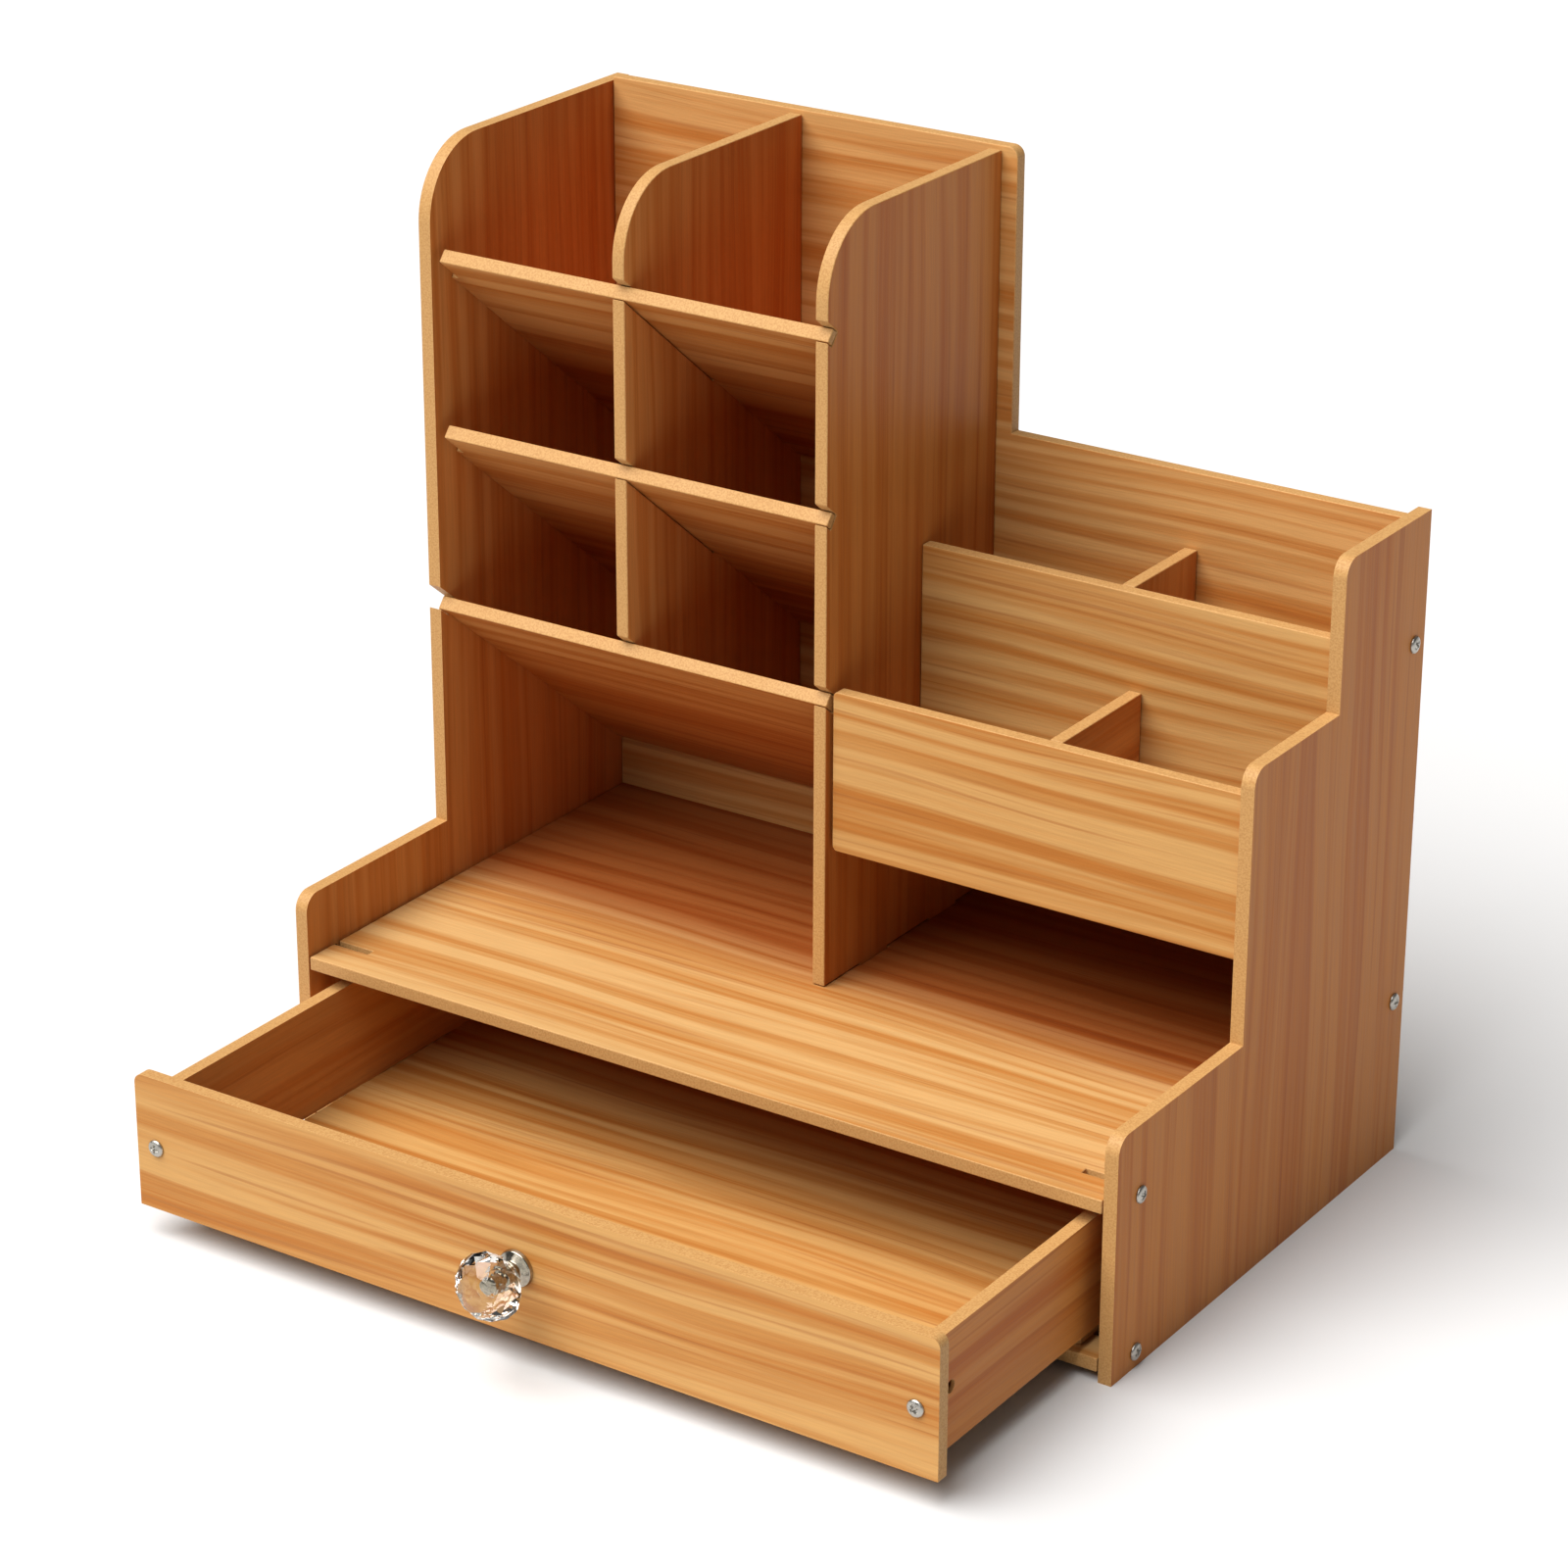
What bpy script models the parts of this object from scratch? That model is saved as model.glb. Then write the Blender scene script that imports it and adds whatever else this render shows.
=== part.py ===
"""Desk organizer: a tower of sloping pen shelves, two open bays, two pen rows and a drawer.

Dimensions below are in millimetres from the organizer's own corner: X from the left outer
face, Y backwards from the front of the side panels, Z up from the surface it stands on.
The scene is in metres, centred on the footprint. The drawer is modelled part-way out.
"""

import math

import bmesh
import bpy
from mathutils import Vector

MM = 0.001

# Overall sizes
WIDTH = 335.0
DEPTH = 200.0
BOARD = 5.0
GAP = 0.3
INNER_LEFT = BOARD
INNER_RIGHT = WIDTH - BOARD
CENTRE_X = WIDTH / 2

# Side panel steps: top of each step and the Y where the step starts
LOW_TOP = 89.5
MIDDLE_FRONT = 81.2
MIDDLE_TOP = 187.6
UPPER_FRONT = 139.2
UPPER_TOP = 241.6
TOWER_TOP = 342.3
STEP_RADIUS = 6.5
TOWER_RADIUS = 28.0

# Back panel, let in between the side panels
BACK_FRONT = 190.0
BACK_BOTTOM = 3.6
BACK_TOWER_RIGHT = 176.2
BACK_TOWER_TOP = 343.8
BACK_LOW_TOP = 240.6
BACK_CORNER_RADIUS = 4.0

# Deck over the drawer and board under it
DECK_TOP = 66.4
BASE_BOTTOM = 3.6
BASE_TOP = BASE_BOTTOM + BOARD
DECK_END_GAP = 0.6

# Tower. Its shelves slope down to the back; SHELF_FRONTS are the heights of their lower front
# edges, and depths along a shelf are measured down its slope
TOWER_LEFT_X = 165.0
TOWER_RIGHT_X = 170.0
DIVIDER_X = 82.5
SHELF_FRONTS = (302.0, 237.7, 172.3)
SHELF_TILT = math.radians(39.0)
SHELF_RELIEF = 3.5
SHELF_RELIEF_DEPTH = 14.0
EAR_DEPTH = 3.0
LOW_EAR_DEPTH = 5.5
LEFT_EAR_END = 3.8
LEFT_NOTCH_ROOM = 1.45
LUG_SPANS = ((104.0, 122.0), (150.0, 168.0))

# Middle and rear rows right of the tower
ROW_LEFT = TOWER_RIGHT_X + GAP
ROW_RIGHT = INNER_RIGHT - GAP
MIDDLE_PANEL_LEFT = TOWER_RIGHT_X + 1.6
MIDDLE_PANEL_RADIUS = 2.0
MIDDLE_PANEL_FRONT = 83.2
MIDDLE_PANEL_BOTTOM = 118.5
MIDDLE_PANEL_TOP = 177.6
PEN_PANEL_FRONT = 141.2
PEN_PANEL_TOP = 212.9
FLOOR_BOTTOM = 118.8
FLOOR_TOP = FLOOR_BOTTOM + BOARD
MIDDLE_DIVIDER_X = 254.2
PEN_DIVIDER_X = 247.0

# A shelf reaches the back panel with the upper edge of its rear end
SHELF_REACH = BACK_FRONT - GAP - MIDDLE_FRONT
SHELF_LENGTH = (SHELF_REACH - BOARD * math.sin(SHELF_TILT)) / math.cos(SHELF_TILT)

# Screws: side screws run in open slots cut in the ends of the boards they hold
SCREW_Y = 15.0
DECK_SCREW_Z = DECK_TOP - BOARD / 2
BASE_SCREW_Z = BASE_TOP - BOARD / 2
BACK_SCREW_Y = BACK_FRONT + BOARD / 2
BACK_SCREW_Z = (61.1, 195.2)
SLOT_LENGTH = 16.0
SLOT_WIDTH = 3.2
SHANK_RADIUS = 1.3
SHANK_HOLE_RADIUS = 1.6
SHANK_LENGTH = 17.0
SHANK_TIP = 1.5
TIP_RADIUS = 0.45
SEAT_GAP = 0.1
CROSS_LENGTH = 3.2
CROSS_WIDTH = 0.6
CROSS_DEPTH = 1.0

# Screw head profile: (radius, height) from the top down, height measured from the seat
SCREW_HEAD = [(0.0, 1.5), (1.7, 1.35), (2.7, 1.0), (3.1, 0.5), (3.1, SEAT_GAP)]

# Drawer, measured with its front flush with the deck, then moved out by DRAWER_OUT
DRAWER_OUT = 95.4
FRONT_WIDTH = 322.2
FRONT_BOTTOM = 10.7
FRONT_TOP = 60.9
FRONT_RADIUS = 3.5
SIDE_INSET = 5.5
SIDE_BOTTOM = 13.9
SIDE_TOP = 55.5
BOX_REAR = 185.0
DRAWER_FLOOR_BOTTOM = BASE_TOP + GAP
LUG_LENGTH = 18.0
LUG_STARTS = (100.0, 160.0)
FRONT_SCREW_INSET = 8.4
FRONT_SCREW_Z = 34.5
FRONT_SCREW_LENGTH = 16.4
NUT_Y = 15.4
NUT_Z = 35.5
NUT_RADIUS = 2.3

# Knob on the drawer front. Profiles are (radius, height) from the outer end down, height
# measured from the face that the piece seats on
KNOB_Z = (FRONT_BOTTOM + FRONT_TOP) / 2
KNOB_SCREW_RADIUS = 1.7
KNOB_SCREW_HOLE = 2.0
KNOB_SCREW_REACH = 3.6
KNOB_BORE_OVERRUN = 1.0
KNOB_BASE = [
    (0.0, 5.2), (3.6, 5.2), (3.6, 2.8), (4.6, 2.2), (6.4, 1.4), (6.8, SEAT_GAP), (0.0, SEAT_GAP),
]
CRYSTAL_FACETS = 10
CRYSTAL_HEAD = [
    (0.0, 23.4), (6.4, 23.4), (9.6, 20.6), (12.0, 15.6), (12.0, 13.6), (7.4, 7.2), (5.0, 5.5),
    (0.0, 5.5),
]
KNOB_SCREW = [
    (0.0, 1.8), (2.2, 1.6), (3.4, 1.1), (3.6, 0.6), (3.6, SEAT_GAP),
    (KNOB_SCREW_RADIUS, SEAT_GAP), (KNOB_SCREW_RADIUS, -BOARD - KNOB_SCREW_REACH),
    (0.0, -BOARD - KNOB_SCREW_REACH),
]

# The footprint runs from the knob's outer end to the rear edge of the side panels
CENTRE_Y = (DEPTH - DRAWER_OUT - CRYSTAL_HEAD[0][1]) / 2

ARC_STEPS = 10
TOWER_ARC_STEPS = 16
HOLE_STEPS = 20
TURNED_STEPS = 28
WELD_DISTANCE = 1e-6

WOOD = (0.60, 0.33, 0.14)
STEEL = (0.62, 0.62, 0.60)
CRYSTAL = (0.86, 0.90, 0.92)

FACING = {
    "X": (math.radians(90), 0.0, math.radians(90)),
    "Y": (math.radians(90), 0.0, 0.0),
    "Z": (0.0, 0.0, 0.0),
}


def clear_scene():
    for leftover in list(bpy.data.objects):
        bpy.data.objects.remove(leftover)


def new_collection(name):
    made = bpy.data.collections.new(name)
    bpy.context.scene.collection.children.link(made)
    return made


def material(name, colour, roughness, metallic):
    made = bpy.data.materials.new(name)
    made.use_nodes = True
    shader = made.node_tree.nodes["Principled BSDF"]
    shader.inputs["Base Color"].default_value = (*colour, 1.0)
    shader.inputs["Roughness"].default_value = roughness
    shader.inputs["Metallic"].default_value = metallic
    return made


def place(x, y, z):
    """Object corner millimetres to scene metres, centred on the footprint."""
    return Vector(((x - CENTRE_X) * MM, (y - CENTRE_Y) * MM, z * MM))


def outline(corners):
    """A closed polygon from (u, v, radius) corners, each rounded by its radius."""
    points = []
    count = len(corners)
    for index, (u, v, radius) in enumerate(corners):
        here = Vector((u, v))
        if not radius:
            points.append(here)
            continue
        before = (Vector(corners[index - 1][:2]) - here).normalized()
        after = (Vector(corners[(index + 1) % count][:2]) - here).normalized()
        half = before.angle(after) / 2
        centre = here + (before + after).normalized() * (radius / math.sin(half))
        start = here + before * (radius / math.tan(half)) - centre
        turn = start.angle_signed(here + after * (radius / math.tan(half)) - centre)
        steps = TOWER_ARC_STEPS if radius > STEP_RADIUS else ARC_STEPS
        for step in range(steps + 1):
            angle = -turn * step / steps
            points.append(centre + Vector((
                start.x * math.cos(angle) - start.y * math.sin(angle),
                start.x * math.sin(angle) + start.y * math.cos(angle),
            )))
    return points


def circle(u, v, radius):
    turns = [2 * math.pi * step / HOLE_STEPS for step in range(HOLE_STEPS)]
    return [Vector((u + radius * math.cos(a), v + radius * math.sin(a))) for a in turns]


def box_outline(u0, u1, v0, v1):
    return [Vector((u0, v0)), Vector((u1, v0)), Vector((u1, v1)), Vector((u0, v1))]


def keep_mesh(source, name, surface, collection):
    """Replaces a curve by its own welded mesh and files it under the collection."""
    graph = bpy.context.evaluated_depsgraph_get()
    mesh = bpy.data.meshes.new_from_object(source.evaluated_get(graph))
    mesh.name = name
    body = bmesh.new()
    body.from_mesh(mesh)
    bmesh.ops.remove_doubles(body, verts=body.verts, dist=WELD_DISTANCE)
    bmesh.ops.recalc_face_normals(body, faces=body.faces)
    body.to_mesh(mesh)
    body.free()
    mesh.materials.clear()
    mesh.materials.append(surface)
    made = bpy.data.objects.new(name, mesh)
    made.matrix_world = source.matrix_world
    collection.objects.link(made)
    bpy.data.objects.remove(source)
    return made


def cut_board(name, rings, at, rotation):
    """A wooden board cut to its outline and holes, with its middle plane at at."""
    curve = bpy.data.curves.new(name, "CURVE")
    curve.dimensions = "2D"
    curve.fill_mode = "BOTH"
    curve.extrude = BOARD / 2 * MM
    for ring in rings:
        spline = curve.splines.new("POLY")
        spline.points.add(len(ring) - 1)
        for point, corner in zip(spline.points, ring):
            point.co = (corner.x * MM, corner.y * MM, 0.0, 1.0)
        spline.use_cyclic_u = True
    source = bpy.data.objects.new(name + "_outline", curve)
    ORGANIZER.objects.link(source)
    source.location = place(*at)
    source.rotation_euler = rotation
    bpy.context.view_layer.update()
    return keep_mesh(source, name, WOOD_SURFACE, ORGANIZER)


def board(name, facing, low, rings):
    """A square board. The rings are its outline and holes in its own plane: (y, z) for a board
    facing X, (x, z) for one facing Y and (x, y) for one facing Z. low is its lower face."""
    middle = low + BOARD / 2
    offset = {"X": (middle, 0, 0), "Y": (0, middle, 0), "Z": (0, 0, middle)}[facing]
    return cut_board(name, rings, offset, FACING[facing])


def turned(name, profile, at, rotation, surface, steps=TURNED_STEPS):
    """A solid of revolution from (radius, height) pairs listed from its top down."""
    mesh = bpy.data.meshes.new(name)
    points = [(radius * MM, 0.0, height * MM) for radius, height in profile]
    edges = [(index, index + 1) for index in range(len(points) - 1)]
    mesh.from_pydata(points, edges, [])
    mesh.materials.append(surface)
    made = bpy.data.objects.new(name, mesh)
    ORGANIZER.objects.link(made)
    spin = made.modifiers.new("turn", "SCREW")
    spin.axis = "Z"
    spin.angle = 2 * math.pi
    spin.steps = steps
    spin.render_steps = steps
    spin.use_merge_vertices = True
    spin.merge_threshold = 0.00001
    spin.use_smooth_shade = False
    made.location = place(*at)
    made.rotation_euler = rotation
    return made


def as_cutter(made):
    """Files an object with the cutters, hidden from the render."""
    for owner in list(made.users_collection):
        owner.objects.unlink(made)
    CUTTERS.objects.link(made)
    made.hide_render = True
    made.display_type = "WIRE"
    return made


def cutter_box(name, size, at, rotation, shift=(0.0, 0.0, 0.0)):
    """A box for a Boolean, centred on at plus a local shift."""
    mesh = bpy.data.meshes.new(name)
    body = bmesh.new()
    bmesh.ops.create_cube(body, size=1.0)
    bmesh.ops.scale(body, vec=[side * MM for side in size], verts=body.verts)
    bmesh.ops.translate(body, vec=[side * MM for side in shift], verts=body.verts)
    body.to_mesh(mesh)
    body.free()
    made = bpy.data.objects.new(name, mesh)
    made.location = place(*at)
    made.rotation_euler = rotation
    return as_cutter(made)


def cut(target, tool):
    modifier = target.modifiers.new(tool.name, "BOOLEAN")
    modifier.operation = "DIFFERENCE"
    modifier.solver = "EXACT"
    modifier.object = tool


def screw(name, at, rotation, length=SHANK_LENGTH):
    """A cross-headed screw whose head seats on at, with its shank along local -Z."""
    shank = [
        (SHANK_RADIUS, SEAT_GAP),
        (SHANK_RADIUS, -length + SHANK_TIP),
        (TIP_RADIUS, -length),
        (0.0, -length),
    ]
    made = turned(name, SCREW_HEAD + shank, at, rotation, STEEL_SURFACE, HOLE_STEPS)
    head_top = (0.0, 0.0, SCREW_HEAD[0][1])
    for turn, (across, along) in enumerate((
        (CROSS_LENGTH, CROSS_WIDTH),
        (CROSS_WIDTH, CROSS_LENGTH),
    )):
        size = (across, along, 2 * CROSS_DEPTH)
        cut(made, cutter_box(f"{name}_cross_{turn}", size, at, rotation, head_top))
    return made


def slot_from(end, inner, y):
    """The outline of a screw slot that opens at a board's end and runs to inner."""
    half = SLOT_WIDTH / 2
    return [(end, y - half), (inner, y - half), (inner, y + half), (end, y + half)]


def slotted_board(name, low, left, right, front, rear, holes=()):
    """A level board with a screw slot open at each end near its front."""
    inner_left = INNER_LEFT + SLOT_LENGTH
    inner_right = INNER_RIGHT - SLOT_LENGTH
    right_slot = slot_from(right, inner_right, SCREW_Y)
    left_slot = slot_from(left, inner_left, SCREW_Y)[::-1]
    ring = [(left, front), (right, front)] + right_slot
    ring += [(right, rear), (left, rear)] + left_slot
    rings = [[Vector(corner) for corner in ring], *holes]
    return board(name, "Z", low, rings)


def side_panel(name, low, corners, screw_zs):
    """A side panel with its screw holes."""
    rings = [outline(corners)]
    rings.append(circle(SCREW_Y, DECK_SCREW_Z, SHANK_HOLE_RADIUS))
    rings.append(circle(SCREW_Y, BASE_SCREW_Z, SHANK_HOLE_RADIUS))
    for z in screw_zs:
        rings.append(circle(BACK_SCREW_Y, z, SHANK_HOLE_RADIUS))
    return board(name, "X", low, rings)


def sloped_shelf(name, front_z, ring):
    """A tower shelf, its ring in (x, depth down the slope) and its lower front edge at front_z."""
    at = (0, *on_slope(front_z, 0, BOARD / 2))
    return cut_board(name, [[Vector(corner) for corner in ring]], at, (-SHELF_TILT, 0.0, 0.0))


def lapped_shelf(name, front_z):
    """An upper tower shelf, lapped with the divider and eared into the tower wall."""
    left = INNER_LEFT + GAP
    right = TOWER_LEFT_X - GAP
    relief = INNER_LEFT + SHELF_RELIEF
    middle = SHELF_LENGTH / 2
    return sloped_shelf(name, front_z, [
        (relief, 0),
        (TOWER_RIGHT_X, 0),
        (TOWER_RIGHT_X, EAR_DEPTH),
        (right, EAR_DEPTH),
        (right, SHELF_LENGTH),
        (DIVIDER_X + BOARD + GAP, SHELF_LENGTH),
        (DIVIDER_X + BOARD + GAP, middle),
        (DIVIDER_X - GAP, middle),
        (DIVIDER_X - GAP, SHELF_LENGTH),
        (left, SHELF_LENGTH),
        (left, SHELF_RELIEF_DEPTH),
        (relief, SHELF_RELIEF_DEPTH),
    ])


def on_slope(front_z, along, above):
    """(y, z) of a point this far down a shelf's slope and above its lower face."""
    return (
        MIDDLE_FRONT + along * math.cos(SHELF_TILT) + above * math.sin(SHELF_TILT),
        front_z - along * math.sin(SHELF_TILT) + above * math.cos(SHELF_TILT),
    )


def slope_height(front_z, y, above):
    """Z at depth y of the plane that lies above a shelf's lower face."""
    return front_z + above / math.cos(SHELF_TILT) - (y - MIDDLE_FRONT) * math.tan(SHELF_TILT)


def shelf_notch(front_z, depth, room=GAP):
    """Corners, from the top down, of a notch in a front edge that takes a shelf or its ear."""
    roof = BOARD + room
    return [
        (MIDDLE_FRONT, slope_height(front_z, MIDDLE_FRONT, roof), 0),
        (*on_slope(front_z, depth + GAP, roof), 0),
        (*on_slope(front_z, depth + GAP, -GAP), 0),
        (MIDDLE_FRONT, slope_height(front_z, MIDDLE_FRONT, -GAP), 0),
    ]


def drawer_y(y):
    """Y of a drawer point that lies at y when the drawer is shut."""
    return y - DRAWER_OUT


def to_drawer(piece):
    """Parents a piece to the drawer's slide axis without moving it."""
    piece.parent = DRAWER_AXIS
    piece.matrix_parent_inverse = DRAWER_AXIS.matrix_world.inverted()


clear_scene()
ORGANIZER = new_collection("desk_organizer")
CUTTERS = new_collection("cutters")
CUTTERS.hide_render = True
WOOD_SURFACE = material("board_wood", WOOD, 0.5, 0.0)
STEEL_SURFACE = material("screw_steel", STEEL, 0.3, 1.0)
CRYSTAL_SURFACE = material("knob_crystal", CRYSTAL, 0.08, 0.0)

# Side panels
side_panel("left_side_panel", 0.0, [
    (0, 0, 0),
    (DEPTH, 0, 0),
    (DEPTH, TOWER_TOP, 0),
    (MIDDLE_FRONT, TOWER_TOP, TOWER_RADIUS),
    *shelf_notch(SHELF_FRONTS[2], LOW_EAR_DEPTH, LEFT_NOTCH_ROOM),
    (MIDDLE_FRONT, LOW_TOP, 0),
    (0, LOW_TOP, STEP_RADIUS),
], BACK_SCREW_Z)
side_panel("right_side_panel", INNER_RIGHT, [
    (0, 0, 0),
    (DEPTH, 0, 0),
    (DEPTH, UPPER_TOP, 0),
    (UPPER_FRONT, UPPER_TOP, STEP_RADIUS),
    (UPPER_FRONT, MIDDLE_TOP, 0),
    (MIDDLE_FRONT, MIDDLE_TOP, STEP_RADIUS),
    (MIDDLE_FRONT, LOW_TOP, 0),
    (0, LOW_TOP, STEP_RADIUS),
], BACK_SCREW_Z)

# Deck, base and back
lug_holes = [
    box_outline(TOWER_LEFT_X - GAP, TOWER_RIGHT_X + GAP, start - GAP, end + GAP)
    for start, end in LUG_SPANS
]
deck_left = INNER_LEFT + DECK_END_GAP
deck_right = INNER_RIGHT - DECK_END_GAP
board_rear = BACK_FRONT - GAP
deck_low = DECK_TOP - BOARD
slotted_board("deck_board", deck_low, deck_left, deck_right, 0.0, board_rear, lug_holes)
slotted_board("bottom_board", BASE_BOTTOM, deck_left, deck_right, 0.0, board_rear)

back_left = INNER_LEFT + GAP
back_right = INNER_RIGHT - GAP
back_half = SLOT_WIDTH / 2
back_ring = [(back_left, BACK_BOTTOM, 0), (back_right, BACK_BOTTOM, 0)]
for level in BACK_SCREW_Z:
    back_ring += [
        (back_right, level - back_half, 0),
        (INNER_RIGHT - SLOT_LENGTH, level - back_half, 0),
        (INNER_RIGHT - SLOT_LENGTH, level + back_half, 0),
        (back_right, level + back_half, 0),
    ]
back_ring += [
    (back_right, BACK_LOW_TOP, 0),
    (BACK_TOWER_RIGHT, BACK_LOW_TOP, 0),
    (BACK_TOWER_RIGHT, BACK_TOWER_TOP, BACK_CORNER_RADIUS),
    (back_left, BACK_TOWER_TOP, 0),
]
for level in reversed(BACK_SCREW_Z):
    back_ring += [
        (back_left, level + back_half, 0),
        (INNER_LEFT + SLOT_LENGTH, level + back_half, 0),
        (INNER_LEFT + SLOT_LENGTH, level - back_half, 0),
        (back_left, level - back_half, 0),
    ]
board("back_panel", "Y", BACK_FRONT, [outline(back_ring)])

# Tower
upper_front, middle_front, lower_front = SHELF_FRONTS
tower_foot = DECK_TOP + GAP
tower_ring = [(MIDDLE_FRONT, tower_foot, 0)]
for lug_start, lug_end in LUG_SPANS:
    tower_ring += [
        (lug_start, tower_foot, 0),
        (lug_start, deck_low, 0),
        (lug_end, deck_low, 0),
        (lug_end, tower_foot, 0),
    ]
tower_ring += [
    (board_rear, tower_foot, 0),
    (board_rear, TOWER_TOP, 0),
    (MIDDLE_FRONT, TOWER_TOP, TOWER_RADIUS),
    *shelf_notch(upper_front, EAR_DEPTH),
    *shelf_notch(middle_front, EAR_DEPTH),
    *shelf_notch(lower_front, LOW_EAR_DEPTH),
]
board("tower_right_panel", "X", TOWER_LEFT_X, [outline(tower_ring)])

divider_ring = [
    (MIDDLE_FRONT, slope_height(lower_front, MIDDLE_FRONT, BOARD + GAP), 0),
    (board_rear, slope_height(lower_front, board_rear, BOARD + GAP), 0),
    (board_rear, TOWER_TOP, 0),
    (MIDDLE_FRONT, TOWER_TOP, TOWER_RADIUS),
    *shelf_notch(upper_front, SHELF_LENGTH / 2),
    *shelf_notch(middle_front, SHELF_LENGTH / 2),
]
board("tower_divider", "X", DIVIDER_X, [outline(divider_ring)])

lapped_shelf("tower_shelf_upper", upper_front)
lapped_shelf("tower_shelf_middle", middle_front)
sloped_shelf("tower_shelf_lower", lower_front, [
    (LEFT_EAR_END, 0),
    (TOWER_RIGHT_X, 0),
    (TOWER_RIGHT_X, LOW_EAR_DEPTH),
    (TOWER_LEFT_X - GAP, LOW_EAR_DEPTH),
    (TOWER_LEFT_X - GAP, SHELF_LENGTH),
    (INNER_LEFT + GAP, SHELF_LENGTH),
    (INNER_LEFT + GAP, LOW_EAR_DEPTH),
    (LEFT_EAR_END, LOW_EAR_DEPTH),
])

# Middle and pen rows
floor_front = MIDDLE_PANEL_FRONT + BOARD + GAP
divider_foot = FLOOR_TOP + GAP
floor_ring = box_outline(ROW_LEFT, ROW_RIGHT, floor_front, board_rear)
board("compartment_floor", "Z", FLOOR_BOTTOM, [floor_ring])
panel_ring = outline([
    (MIDDLE_PANEL_LEFT, MIDDLE_PANEL_BOTTOM, MIDDLE_PANEL_RADIUS),
    (ROW_RIGHT, MIDDLE_PANEL_BOTTOM, 0),
    (ROW_RIGHT, MIDDLE_PANEL_TOP, 0),
    (MIDDLE_PANEL_LEFT, MIDDLE_PANEL_TOP, MIDDLE_PANEL_RADIUS),
])
board("middle_row_front_panel", "Y", MIDDLE_PANEL_FRONT, [panel_ring])
panel_ring = box_outline(ROW_LEFT, ROW_RIGHT, divider_foot, PEN_PANEL_TOP)
board("pen_row_front_panel", "Y", PEN_PANEL_FRONT, [panel_ring])
divider_rear = PEN_PANEL_FRONT - GAP
divider_rect = box_outline(floor_front, divider_rear, divider_foot, MIDDLE_PANEL_TOP)
board("middle_row_divider", "X", MIDDLE_DIVIDER_X, [divider_rect])
pen_row_front = PEN_PANEL_FRONT + BOARD + GAP
divider_rect = box_outline(pen_row_front, board_rear, divider_foot, PEN_PANEL_TOP)
board("pen_row_divider", "X", PEN_DIVIDER_X, [divider_rect])

# Side screws, heads outward
HEAD_RIGHT = (0.0, math.radians(90), 0.0)
HEAD_LEFT = (0.0, math.radians(-90), 0.0)
SIDE_SCREWS = (
    ("deck", SCREW_Y, DECK_SCREW_Z),
    ("bottom", SCREW_Y, BASE_SCREW_Z),
    ("back_low", BACK_SCREW_Y, BACK_SCREW_Z[0]),
    ("back_high", BACK_SCREW_Y, BACK_SCREW_Z[1]),
)
for place_name, screw_y, screw_z in SIDE_SCREWS:
    screw(f"screw_right_{place_name}", (WIDTH, screw_y, screw_z), HEAD_RIGHT)
    screw(f"screw_left_{place_name}", (0.0, screw_y, screw_z), HEAD_LEFT)

# Drawer, on an axis at the middle of its front
DRAWER_AXIS = bpy.data.objects.new("drawer_slide_axis", None)
ORGANIZER.objects.link(DRAWER_AXIS)
DRAWER_AXIS.location = place(CENTRE_X, drawer_y(0.0), KNOB_Z)
bpy.context.view_layer.update()

front_left = CENTRE_X - FRONT_WIDTH / 2
front_right = CENTRE_X + FRONT_WIDTH / 2
front_corners = [
    (front_left, FRONT_BOTTOM, 0),
    (front_right, FRONT_BOTTOM, 0),
    (front_right, FRONT_TOP, FRONT_RADIUS),
    (front_left, FRONT_TOP, FRONT_RADIUS),
]
screw_left_x = front_left + FRONT_SCREW_INSET
screw_right_x = front_right - FRONT_SCREW_INSET
front_rings = [
    outline(front_corners),
    circle(CENTRE_X, KNOB_Z, KNOB_SCREW_HOLE),
    circle(screw_left_x, FRONT_SCREW_Z, SHANK_HOLE_RADIUS),
    circle(screw_right_x, FRONT_SCREW_Z, SHANK_HOLE_RADIUS),
]
to_drawer(board("drawer_front", "Y", drawer_y(0.0), front_rings))

side_front = drawer_y(BOARD + GAP)
side_rear = drawer_y(BOX_REAR)
side_left_x = front_left + SIDE_INSET
side_right_x = front_right - SIDE_INSET - BOARD
bore_length = NUT_Y + BOARD
side_ring = [
    (side_front, SIDE_BOTTOM),
    (side_rear, SIDE_BOTTOM),
    (side_rear, SIDE_TOP),
    (side_front, SIDE_TOP),
]
side_rings = [
    [Vector(corner) for corner in side_ring],
    circle(drawer_y(NUT_Y), NUT_Z, NUT_RADIUS),
]
for side_name, side_low, screw_x in (
    ("left", side_left_x, screw_left_x),
    ("right", side_right_x, screw_right_x),
):
    side = board(f"drawer_{side_name}_side", "X", side_low, side_rings)
    bore_at = (screw_x, drawer_y(bore_length / 2), FRONT_SCREW_Z)
    bore_size = (SLOT_WIDTH, bore_length, SLOT_WIDTH)
    cut(side, cutter_box(f"{side_name}_screw_bore", bore_size, bore_at, FACING["Z"]))
    to_drawer(side)

box_left = side_left_x + BOARD + GAP
box_right = side_right_x - GAP
back_front = drawer_y(BOX_REAR - BOARD)
back_rect = box_outline(box_left, box_right, DRAWER_FLOOR_BOTTOM + BOARD + GAP, SIDE_TOP)
to_drawer(board("drawer_back", "Y", back_front, [back_rect]))

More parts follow.
